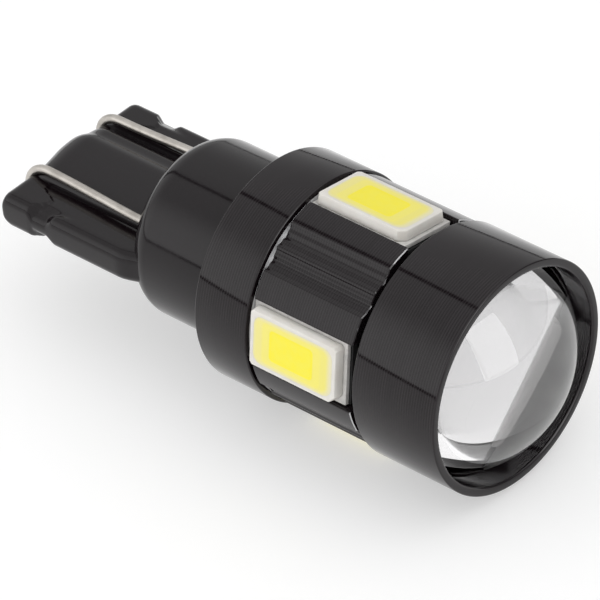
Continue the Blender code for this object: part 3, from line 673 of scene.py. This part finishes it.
def sweptWireTree(material):
    tree = NodeTree("sweptWire")
    radius = tree.value("radius", 0.2 * mm)
    sides = tree.value("sides", 20, "NodeSocketInt")
    curve = tree.node("GeometryNodeMeshToCurve", {0: tree.entry.outputs[0]})
    ring = tree.node("GeometryNodeCurvePrimitiveCircle", {"Resolution": sides, "Radius": radius})
    swept = tree.node("GeometryNodeCurveToMesh", {"Curve": curve, "Profile Curve": ring, "Fill Caps": True})
    tree.end(tree.node("GeometryNodeSetShadeSmooth", {"Geometry": swept}), material)
    return tree


def sweptWire(name, route, radius, tree):
    mesh = bpy.data.meshes.new(name)
    mesh.from_pydata([Vector(point) * mm for point in route], [(i, i + 1) for i in range(len(route) - 1)], [])
    obj = bpy.data.objects.new(name, mesh)
    bpy.context.scene.collection.objects.link(obj)
    tree.run(obj, radius=radius * mm)
    bm = bmesh.new()
    bm.from_mesh(obj.data)
    bmesh.ops.remove_doubles(bm, verts=bm.verts, dist=1e-7)
    bmesh.ops.recalc_face_normals(bm, faces=bm.faces)
    bm.to_mesh(obj.data)
    bm.free()
    obj.data.shade_smooth()
    obj.data.set_sharp_from_angle(angle=math.radians(50))
    return obj


sink = {
    "rear": 13.93, "seat": 14.03, "seatRadius": 4.65, "collarRadius": 5.97, "collarFront": 17.18, "grooveRear": 17.32,
    "sleeveFront": 23.47, "ringRear": 23.88, "rim": 28.88, "bandRadius": 5.86, "ringRadius": 6.0, "rearCore": 5.50,
    "frontCore": 5.0, "cupRadius": 5.54, "lensStep": 5.26, "lensSeat": 26.93, "cupFloor": 24.98, "socketRadius": 4.15,
    "socketFront": 17.05, "feedHole": 1.5, "clock": -9.4, "slotHalf": 1.8, "slotFloor": 4.64,
    "fluteStart": 32.0, "fluteCount": 6, "fluteSink": 0.10, "fluteFine": 0.05, "fluteBroad": 0.16,
    "overlap": 0.02, "coreInset": 0.1, "slotEdge": 0.07, "bandBevel": 0.05,
}


def fluteDepth(angle):
    # fine flutes on two broad waves, in a field that is sunk below the plain bands
    start = sink["fluteStart"]
    if not start < angle < 90 - start:
        return 0.0
    share = (angle - start) / (90 - 2 * start)
    sunk = sink["fluteSink"] * (1 - (2 * share - 1) ** 8)
    fine = sink["fluteFine"] * (1 - math.cos(2 * math.pi * sink["fluteCount"] * share)) / 2
    return sunk + fine + sink["fluteBroad"] * math.sin(2 * math.pi * share) ** 2


def slottedOutline(radius, fluted, inset=0.0):
    # one cross section with its four light slots, drawn a quarter at a time from the middle of a slot's floor
    half, floor, reach = sink["slotHalf"] + inset, sink["slotFloor"] - inset, radius - inset
    wallTop = math.sqrt(reach**2 - half**2)
    edge = min(sink["slotEdge"], (wallTop - floor) * 0.3)
    wall = [(step / 6 * half, floor) for step in range(4)]  # half way to the corner
    corner = [(half / 2, floor, 0), (half, floor, edge * 0.7), (half, wallTop - edge, 0)]
    wall += filleted(corner, closed=False, steps=2)[1:]
    wall.append((half + edge * 0.3, wallTop - edge * 0.3))
    begin = math.degrees(math.asin((half + edge) / reach))
    count = 240 if fluted else 48  # flutes need the finer steps
    quarter = list(wall)
    for step in range(count + 1):
        angle = begin + (90 - 2 * begin) * step / count
        out = reach - (fluteDepth(angle) if fluted else 0.0)
        quarter.append((out * math.sin(math.radians(angle)), out * math.cos(math.radians(angle))))
    quarter += [(v, u) for u, v in reversed(wall[1:])]
    outline = []
    for number in range(4):
        around = math.radians(sink["clock"] + 90 * number)
        cos, sin = math.cos(around), math.sin(around)
        outline += [(-u * cos - v * sin, v * cos - u * sin) for u, v in quarter]
    return outline


def slottedPrism(bm, radius, x0, x1, fluted, bevel):
    rows = []
    ends = ((x0, bevel), (x0 + bevel, 0.0), (x1 - bevel, 0.0), (x1, bevel)) if bevel else ((x0, 0.0), (x1, 0.0))
    for x, inset in ends:
        rows.append([(x, y, z) for y, z in slottedOutline(radius, fluted, inset)])
    loft(bm, rows)


def makeHeatSink():
    bm = bmesh.new()
    core, overlap = sink["slotFloor"] - sink["coreInset"], sink["overlap"]
    collar = [
        (sink["seat"], sink["socketRadius"], 0.0), (sink["seat"], sink["seatRadius"], 0.0),
        (sink["rear"], sink["seatRadius"], 0.03), (sink["rear"], sink["collarRadius"], 0.1),
        (sink["collarFront"], sink["collarRadius"], 0.08), (sink["collarFront"], core, 0.0),
        (sink["socketFront"], core, 0.0), (sink["socketFront"], sink["socketRadius"], 0.0),
    ]
    lathe(bm, filleted(collar, steps=5), turnSteps["sink"], closed=True)
    slottedPrism(bm, sink["rearCore"], sink["collarFront"] - overlap, sink["grooveRear"] + overlap, False, 0.0)
    slottedPrism(bm, sink["bandRadius"], sink["grooveRear"], sink["sleeveFront"], True, sink["bandBevel"])
    slottedPrism(bm, sink["frontCore"], sink["sleeveFront"] - overlap, sink["ringRear"] + overlap, False, 0.0)
    ring = [
        (sink["ringRear"], core, 0), (sink["ringRear"], sink["ringRadius"], 0.09),
        (sink["rim"], sink["ringRadius"], 0.08), (sink["rim"], sink["cupRadius"], 0.16),
        (sink["lensSeat"], sink["cupRadius"], 0.03), (sink["lensSeat"], sink["lensStep"], 0.03),
        (sink["cupFloor"], sink["lensStep"], 0.05), (sink["cupFloor"], sink["feedHole"], 0),
        (sink["ringRear"], sink["feedHole"], 0),
    ]
    lathe(bm, filleted(ring, steps=5), turnSteps["sink"], closed=True)
    return madeObject(bm, "heatSink", blackAnodised)


led = {
    "count": 4, "centre": 20.14, "length": 5.42, "width": 3.1, "height": 0.55, "draft": 0.05, "chamfer": 0.15,
    "mark": 0.35, "rim": 0.25, "windowRound": 0.5, "top": 5.96, "gap": 0.03, "soft": 0.05, "lowSoft": 0.03,
    "cornerSoft": 0.04, "baseSoft": 0.04, "boardSoft": 0.03,
    "baseLength": 5.8, "baseWidth": 3.4, "baseHeight": 0.26, "boardLength": 5.94, "boardThick": 0.38, "slotGap": 0.05,
}
# depth below the body's top and inset from the window's edge, for the recess and for the gel in it
windowDish = ((0.0, 0.0), (0.03, 0.03), (0.3, 0.14))
gelLevels = ((0.28, 0.13), (0.03, 0.02), (0.012, 0.005), (0.008, 0.05), (0.01, 0.3), (0.02, 0.6))
windowHalf, windowSide = (led["length"] - 2 * led["rim"]) / 2, (led["width"] - 2 * led["rim"]) / 2


def turnedAbout(points, number):
    # local (x, across, up) of one light, carried round to its place on the heat sink
    around = math.radians(sink["clock"] + 90 * (number - 1))
    cos, sin = math.cos(around), math.sin(around)
    return [(x, y * cos - z * sin, y * sin + z * cos) for x, y, z in points]


def ledOutline(length, width):
    # the large chamfer marks one corner
    x, y, small, mark, soft = length / 2, width / 2, led["chamfer"], led["mark"], led["cornerSoft"]
    corners = [
        (x, mark - y, soft), (x, y - small, soft), (x - small, y, soft), (small - x, y, soft),
        (-x, y - small, soft), (-x, small - y, soft), (small - x, -y, soft), (x - mark, -y, soft),
    ]
    return filleted(corners, steps=2)


def ledRow(outline, height, number):
    return turnedAbout([(led["centre"] + u, v, height) for u, v in outline], number)


def oblong(half, side, corner):
    corners = [(half, -side, corner), (half, side, corner), (-half, side, corner), (-half, -side, corner)]
    return filleted(corners, steps=3)


def windowRow(depth, inset, number):
    outline = oblong(windowHalf - inset, windowSide - inset, led["windowRound"])
    return ledRow(outline, led["top"] - depth, number)


def softEdges(low, high, lowSoft, highSoft):
    # heights and insets of a box whose lower and upper edges are rounded
    upper = ((high - highSoft, 0.0), (high - highSoft * 0.3, highSoft * 0.3), (high, highSoft))
    return ((low, lowSoft), (low + lowSoft, 0.0)) + upper


def roundedBox(number, length, width, low, high, soft):
    rows = []
    for height, inset in softEdges(low, high, soft, soft):
        rows.append(ledRow(oblong(length / 2 - inset, width / 2 - inset, soft * 1.5), height, number))
    bm = bmesh.new()
    loft(bm, rows)
    return bm


def loopEdges(bm, ring):
    return [bm.edges.get((vertex, ring[(index + 1) % len(ring)])) for index, vertex in enumerate(ring)]


def makeLedBody(number, low):
    # the outer skin, then the dished window inside it
    rows = []
    for height, inset in softEdges(low, led["top"], led["lowSoft"], led["soft"]):
        inward = inset + led["draft"] * (height - low) / led["height"]
        rows.append(ledRow(ledOutline(led["length"] - 2 * inward, led["width"] - 2 * inward), height, number))
    bm = bmesh.new()
    rings = [newRing(bm, row) for row in rows]
    skin(bm, rings)
    bm.faces.new(rings[0])
    dish = [newRing(bm, windowRow(depth, inset, number)) for depth, inset in windowDish]
    skin(bm, dish)
    bm.faces.new(dish[-1])
    bmesh.ops.bridge_loops(bm, edges=loopEdges(bm, rings[-1]) + loopEdges(bm, dish[0]))
    body = madeObject(bm, "sideLedBody" + str(number), whiteHousing, 25.0)
    entered(body, "side_led_body_" + str(number))


def makeLedGel(number):
    bm = bmesh.new()
    loft(bm, [windowRow(depth, inset, number) for depth, inset in gelLevels])
    gel = madeObject(bm, "sideLedPhosphor" + str(number), yellowGel, 60.0)
    uvLayer = gel.data.uv_layers.new(name="window")
    around = math.radians(sink["clock"] + 90 * (number - 1))
    across = Vector((0, math.cos(around), math.sin(around)))
    for loop in gel.data.loops:
        place = gel.data.vertices[loop.vertex_index].co / mm
        uvLayer.data[loop.index].uv = ((place.x - led["centre"]) / windowHalf, place.dot(across) / windowSide)
    entered(gel, "side_led_phosphor_" + str(number))


def makeSideLight(number):
    low = led["top"] - led["height"]
    makeLedBody(number, low)
    makeLedGel(number)
    baseTop = low - led["gap"]
    bm = roundedBox(number, led["baseLength"], led["baseWidth"], baseTop - led["baseHeight"], baseTop, led["baseSoft"])
    entered(madeObject(bm, "sideLedBase" + str(number), leadMetal, 25.0), "side_led_base_" + str(number))
    boardTop = baseTop - led["baseHeight"] - led["gap"]
    boardWidth = 2 * (sink["slotHalf"] - led["slotGap"])
    bm = roundedBox(number, led["boardLength"], boardWidth, boardTop - led["boardThick"], boardTop, led["boardSoft"])
    entered(madeObject(bm, "sideBoard" + str(number), blackMask, 25.0), "side_board_" + str(number))


front = {
    "boardRear": 25.01, "boardThick": 0.9, "boardRadius": 5.21, "size": 4.6, "turn": 40.0, "baseHeight": 0.26,
    "window": 1.95, "windowDepth": 0.3, "gelDepth": 0.27, "gelGap": 0.005, "top": 26.90, "chamfer": 0.15,
    "soft": 0.03, "boardSoft": 0.05, "topSoft": 0.05, "topDraft": 0.1, "windowDraft": 0.1, "gelDraft": 0.09,
    "gelOut": 0.01,
}
lens = {"back": 26.96, "edge": 0.42, "radius": 5.49, "rise": 3.38, "rim": 0.06, "steps": 96}


def frontSquare(half, chamfer):
    turn = math.radians(front["turn"])
    cos, sin = math.cos(turn), math.sin(turn)
    edge = half - chamfer
    corners = [
        (half, -edge), (half, edge), (edge, half), (-edge, half), (-half, edge), (-half, -edge), (-edge, -half),
        (edge, -half),
    ]
    return [(u * cos - v * sin, u * sin + v * cos) for u, v in corners]


def loftedSquare(name, material, levels):
    # the chamfered square of the front light, with an inset at each level
    rows = []
    for x, inset in levels:
        rows.append([(x, y, z) for y, z in frontSquare(front["size"] / 2 - inset, front["chamfer"])])
    bm = bmesh.new()
    loft(bm, rows)
    return madeObject(bm, name, material, 25.0)


def makeFrontLight():
    rear, radius, top, window = front["boardRear"], front["boardRadius"], front["top"], front["window"]
    boardFront, boardSoft, soft = rear + front["boardThick"], front["boardSoft"], front["soft"]
    bm = bmesh.new()
    corners = [(rear, 0.0, 0), (rear, radius, boardSoft), (boardFront, radius, boardSoft), (boardFront, 0.0, 0)]
    lathe(bm, filleted(corners, closed=False, steps=3), turnSteps["frontBoard"])
    entered(madeObject(bm, "frontBoard", shadedWhiteMask), "front_board")

    low = boardFront + led["gap"]
    high = low + front["baseHeight"]
    base = loftedSquare("frontLedBase", shadedWhiteMask, ((low, soft), (low + soft, 0.0), (high - soft, 0.0), (high, soft)))
    entered(base, "front_led_base")
    low = high + led["gap"]
    shoulder = top - front["topSoft"]
    levels = ((low, soft), (low + soft, 0.0), (shoulder, front["topSoft"]), (top, front["topDraft"]))
    body = loftedSquare("frontLedBody", shadedFrontHousing, levels)
    floor, draft = top - front["windowDepth"], front["windowDraft"]
    bm = bmesh.new()
    lathe(bm, [(floor, 0.0), (floor, window - draft), (top + 1, window + draft), (top + 1, 0.0)], turnSteps["window"])
    hollow(body, [madeObject(bm, "window", shadedFrontHousing)])
    entered(body, "front_led_body")

    low, high = top - front["gelDepth"], top - front["gelGap"]
    bm = bmesh.new()
    narrow, wide = window - front["gelDraft"], window + front["gelOut"]
    lathe(bm, [(low, 0.0), (low, narrow), (high, wide), (high, 0.0)], turnSteps["window"])
    entered(madeObject(bm, "frontLedPhosphor", paleGel, 60.0), "front_led_phosphor")


def makeLens():
    back, radius, rise = lens["back"], lens["radius"], lens["rise"]
    shoulder = back + lens["edge"]
    dome = (radius**2 + rise**2) / (2 * rise)
    centre = shoulder + rise - dome
    reach = math.atan2(radius, shoulder - centre)
    profile = filleted([(back, 0.0, 0), (back, radius, lens["rim"]), (shoulder, radius, 0)], closed=False, steps=3)
    for step in range(1, lens["steps"] + 1):
        turn = reach * (1 - step / lens["steps"])
        profile.append((centre + dome * math.cos(turn), dome * math.sin(turn)))
    bm = bmesh.new()
    lathe(bm, profile, turnSteps["lens"])
    entered(madeObject(bm, "domedLens", lensClear), "lens")


view = {
    "azimuth": 44.99, "elevation": 37.88, "roll": -5.55, "scale": 21.45, "distance": 288.0,
    "right": 10.10, "up": -3.65, "aim": 28.865, "sensor": 36.0, "pixels": 600,
}
# levels of the white tent, by the direction that the black metal mirrors: each patch has the level that it
# adds, its middle, and the nearness to it where it starts and where it is full
tent = {
    "level": 0.92, "patches": [
        (0.66, (-0.528, -0.845, 0.087), 0.69, 0.97), (0.50, (0.50, 0.05, 0.86), 0.76, 0.95),
        (-0.22, (-0.56, 0.83, 0.0), 0.5, 0.95), (-0.72, (0.47, 0.88, -0.02), 0.72, 0.93),
    ],
    "seamAcross": (0.264, 0.950, 0.166), "horizon": 0.012, "seamOuter": 0.026, "seamInner": 0.018,
    "horizonInner": 0.016, "seamShare": 0.97,
}
softbox = {"at": (0.62, -0.02, 0.26), "target": (0.025, 0, 0), "width": 0.42, "height": 0.58, "radiance": 2.8}
paper = {"height": -6.35, "half": 1.5, "grey": 0.64, "glow": 0.41, "roughness": 0.9}


def makeCamera():
    azimuth, elevation, roll = (math.radians(view[key]) for key in ("azimuth", "elevation", "roll"))
    flat = math.cos(elevation)
    back = Vector((math.sin(azimuth) * flat, -math.cos(azimuth) * flat, math.sin(elevation)))
    level = Vector((math.cos(azimuth), math.sin(azimuth), 0))
    rise = back.cross(level)
    right = level * math.cos(roll) + rise * math.sin(roll)
    up = rise * math.cos(roll) - level * math.sin(roll)
    place = Vector((view["aim"], 0, 0)) - right * view["right"] - up * view["up"] + back * view["distance"]
    data = bpy.data.cameras.new("photoCamera")
    data.sensor_width = view["sensor"]
    data.lens = view["sensor"] * view["scale"] * view["distance"] / view["pixels"]
    data.clip_start, data.clip_end = 0.01, 50.0
    camera = bpy.data.objects.new("photoCamera", data)
    camera.matrix_world = Matrix((
        (right.x, up.x, back.x, place.x * mm), (right.y, up.y, back.y, place.y * mm),
        (right.z, up.z, back.z, place.z * mm), (0, 0, 0, 1),
    ))
    bpy.context.scene.collection.objects.link(camera)
    bpy.context.scene.camera = camera


def addSoftbox():
    width, height = softbox["width"], softbox["height"]
    data = bpy.data.lights.new("frontSoftbox", "AREA")
    data.shape = "RECTANGLE"
    data.size, data.size_y = width, height
    data.energy = softbox["radiance"] * math.pi * width * height
    lamp = bpy.data.objects.new("frontSoftbox", data)
    lamp.location = softbox["at"]
    lamp.rotation_euler = (Vector(softbox["target"]) - Vector(softbox["at"])).to_track_quat("-Z", "Y").to_euler()
    lamp.visible_diffuse = lamp.visible_transmission = False  # it only shows as a reflection
    bpy.context.scene.collection.objects.link(lamp)


def makeTent():
    # white walls all round, with thin dark seams where the panels meet; the camera sees plain white
    world = bpy.data.worlds.new("tent")
    bpy.context.scene.world = world
    world.use_nodes = True
    finish = Finish("tent", tree=world.node_tree)
    direction = finish.place("Generated")

    def towards(axis):
        dot = {"operation": "DOT_PRODUCT"}
        return finish.node("ShaderNodeVectorMath", dot, {0: direction, 1: axis}, output="Value")

    seam = abs(towards(tent["seamAcross"])).ramp(tent["seamOuter"], tent["seamInner"])
    upward = finish.axes(direction)[2]
    horizon = abs(upward - tent["horizon"]).ramp(tent["seamOuter"], tent["horizonInner"])
    lit = tent["level"]
    for amount, middle, outer, full in tent["patches"]:
        lit = lit + towards(middle).ramp(outer, full) * amount
    lit = lit * (1 - seam.math("MAXIMUM", horizon) * tent["seamShare"])
    seen = finish.node("ShaderNodeLightPath", output="Is Camera Ray")
    level = finish.blend(seen, finish.node("ShaderNodeCombineXYZ", inputs={0: lit, 1: lit, 2: lit}), (1.0, 1.0, 1.0))
    background = world.node_tree.nodes["Background"]
    finish.feed(background.inputs["Color"], level)
    background.inputs["Strength"].default_value = 1.0


def floorFinish():
    # white paper: it glows at the tent's level and darkens only where the bulb shades it
    finish = Finish("floorPaper", Roughness=paper["roughness"])
    finish.set("Base Color", (paper["grey"], paper["grey"], paper["grey"]))
    finish.set("Specular IOR Level", 0.0)
    finish.set("Emission Color", (1.0, 1.0, 1.0))
    finish.set("Emission Strength", paper["glow"])
    return finish.material


def makeFloor():
    bm = bmesh.new()
    bmesh.ops.create_grid(bm, x_segments=1, y_segments=1, size=paper["half"])
    floor = madeObject(bm, "floor", floorFinish())
    floor.location.z = paper["height"] * mm


blackPlastic = mouldedBlack()
blackAnodised = anodisedBlack()
wireMetal = tinnedWire()
whiteHousing = ledHousing("ledHousing", (0.73, 0.70, 0.65), (0.76, 0.74, 0.70))
# the front light's housing is a darker copy of the white one: painted shade for the shade inside the cup
shadedFrontHousing = ledHousing("shadedFrontHousing", (0.44, 0.435, 0.425), (0.47, 0.465, 0.455), 0.02684)
leadMetal = ledLead()
yellowGel = phosphorGel()
paleGel = clouded("milkyGel", (0.42, 0.415, 0.40), (0.44, 0.435, 0.42), 0.4, 1200.0, 2.0)
blackMask = clouded("blackMask", (0.012, 0.012, 0.012), (0.02, 0.02, 0.02), 0.45)
# the white mask of the front board and the front light's base is darkened to grey: partly its own tone, partly painted
# shade for the shade inside the cup
shadedWhiteMask = clouded("shadedWhiteMask", (0.33, 0.33, 0.325), (0.41, 0.41, 0.40), 0.35)
greenMask = clouded("greenMask", (0.02, 0.12, 0.05), (0.03, 0.16, 0.07), 0.35)
chipResin = clouded("chipResin", (0.012, 0.012, 0.012), (0.022, 0.022, 0.022), 0.5)
ceramic = clouded("ceramic", (0.30, 0.22, 0.14), (0.38, 0.29, 0.19), 0.5)
insulation = clouded("insulation", (0.42, 0.02, 0.02), (0.5, 0.035, 0.03), 0.4)
lensClear = clearLens()

bpy.context.scene.view_settings.view_transform = "Standard"
makeCamera()
print("camera placed")
makeTent()
makeFloor()
addSoftbox()
print("tent and floor ready")

entered(makeWedgeBase(), "wedge_base")
print("wedge base made")
wireTree = sweptWireTree(wireMetal)
for side, label in ((1, "left"), (-1, "right")):
    wire = sweptWire("contactWire" + label.title(), wireRoute(side), wires["radius"], wireTree)
    entered(wire, "contact_wire_" + label)
print("contact wires bent")
entered(makeHeatSink(), "heat_sink")
print("heat sink turned")
for number in range(1, led["count"] + 1):
    makeSideLight(number)
print("side lights set")
makeFrontLight()
makeLens()
print("front light and lens set")

hiddenFinishes = {
    "driver_board": greenMask, "driver_chip": chipResin, "rectifier": chipResin, "resistor_1": chipResin,
    "resistor_2": chipResin, "capacitor": ceramic, "feed_wire_left": insulation, "feed_wire_right": insulation,
}
for name, material in hiddenFinishes.items():
    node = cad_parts[name]
    node.data.materials.clear()
    node.data.materials.append(material)
print("driver finished")
